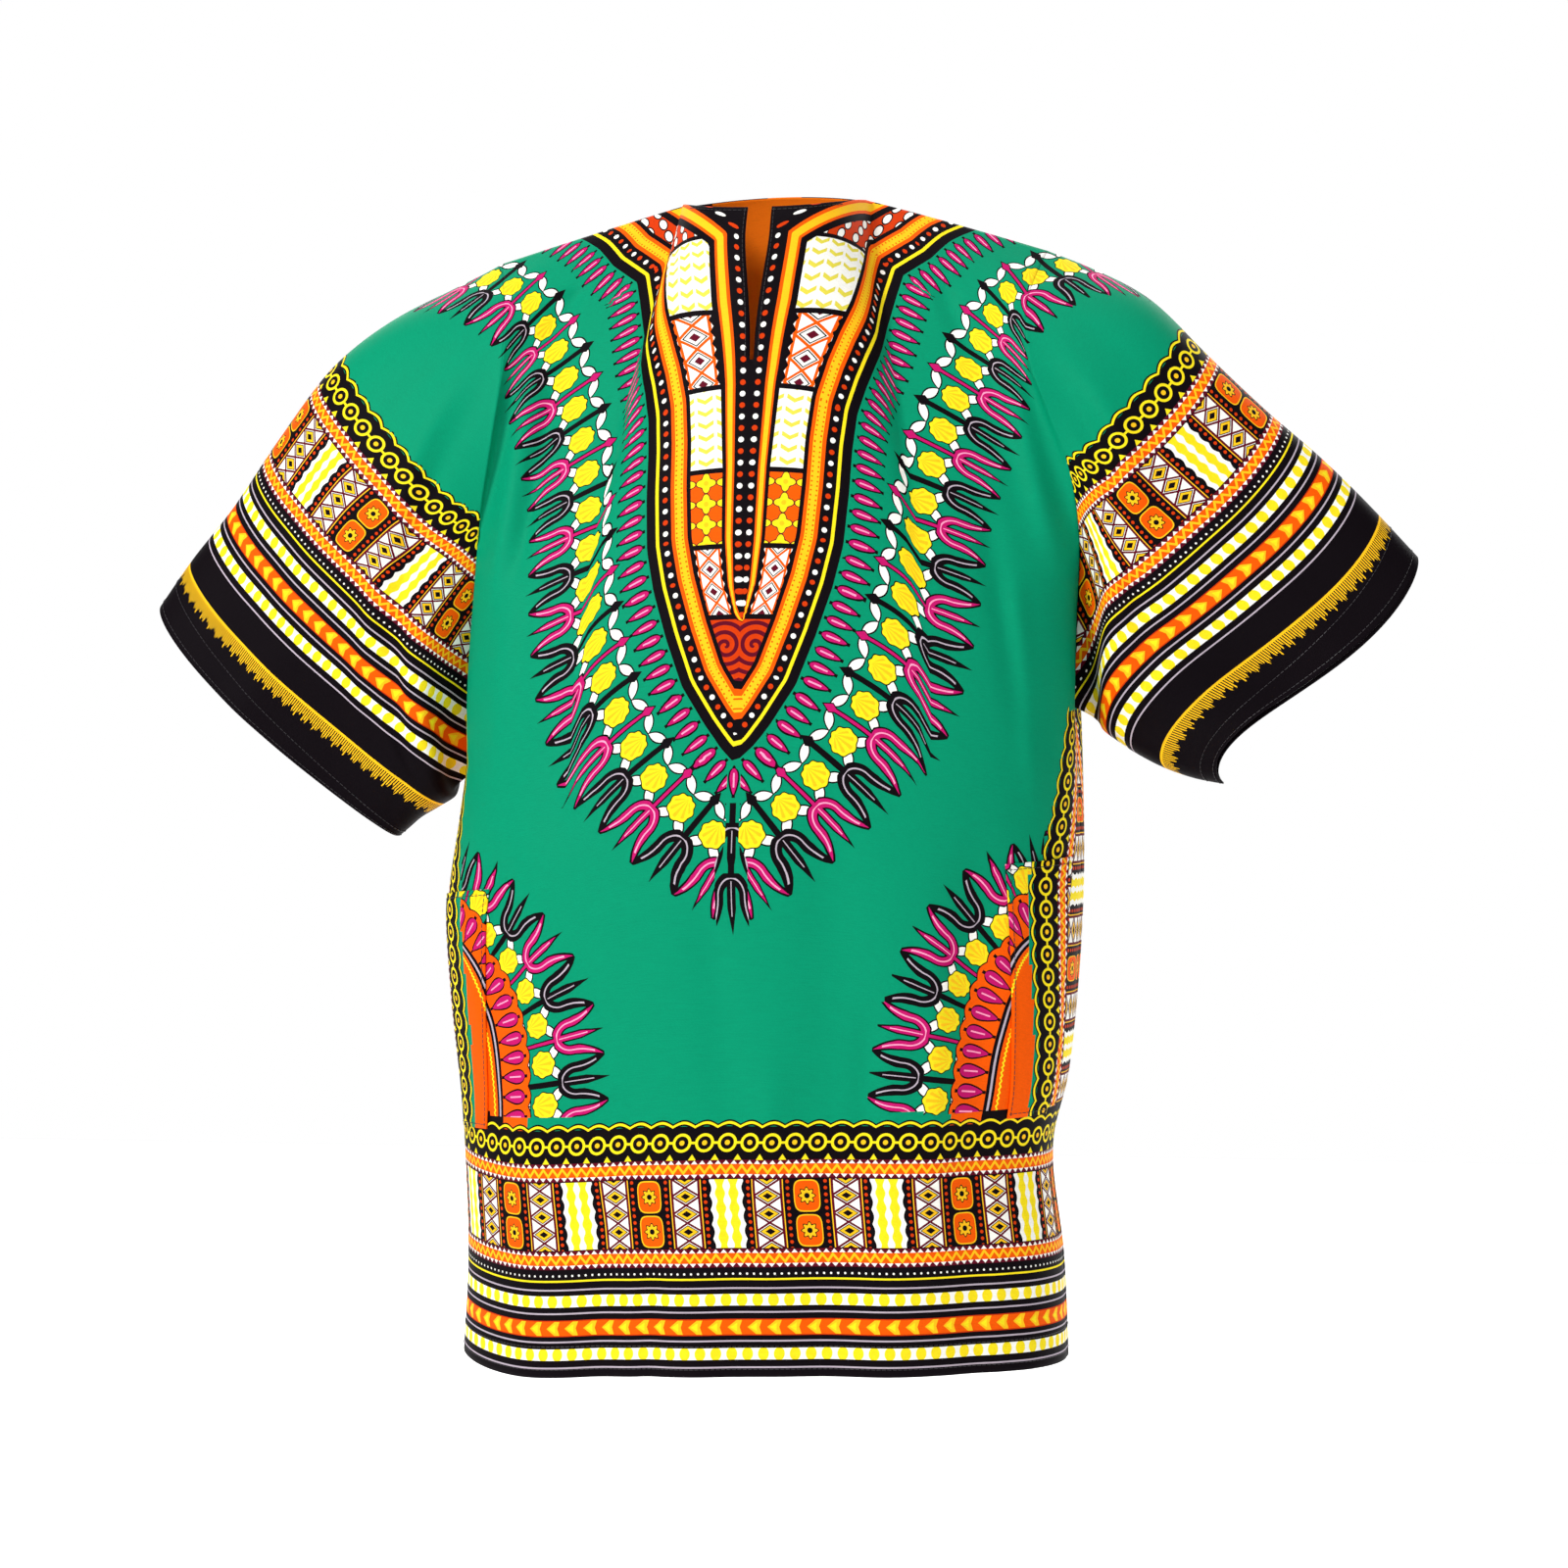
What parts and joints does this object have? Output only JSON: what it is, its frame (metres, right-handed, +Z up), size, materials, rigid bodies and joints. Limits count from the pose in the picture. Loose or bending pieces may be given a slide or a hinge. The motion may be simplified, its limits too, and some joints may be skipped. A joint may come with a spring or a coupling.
{
  "type": "dashiki shirt",
  "caption": "Loose pullover shirt with wide elbow-length sleeves, a round neck with a front slit, slanted side pockets and a traditional printed yoke and border, hollow as when worn.",
  "frame": {"origin": "the neck opening, at the level of the highest point of the shoulder line and in the middle between the shoulders", "axes": "+X the viewer's right across the sleeves, -Y the front of the shirt, +Z up"},
  "size_m": [0.8695, 0.2399, 0.8029],
  "materials": {
    "shirt_cloth": "printed cotton poplin, satin-matte",
    "pocket_cloth": "printed cotton poplin, satin-matte"
  },
  "bodies": {
    "root": {"front": "shirt_cloth", "back": "shirt_cloth", "sleeve_left": "shirt_cloth", "sleeve_right": "shirt_cloth", "pocket_left": "pocket_cloth", "pocket_right": "pocket_cloth"}
  },
  "joints": []
}
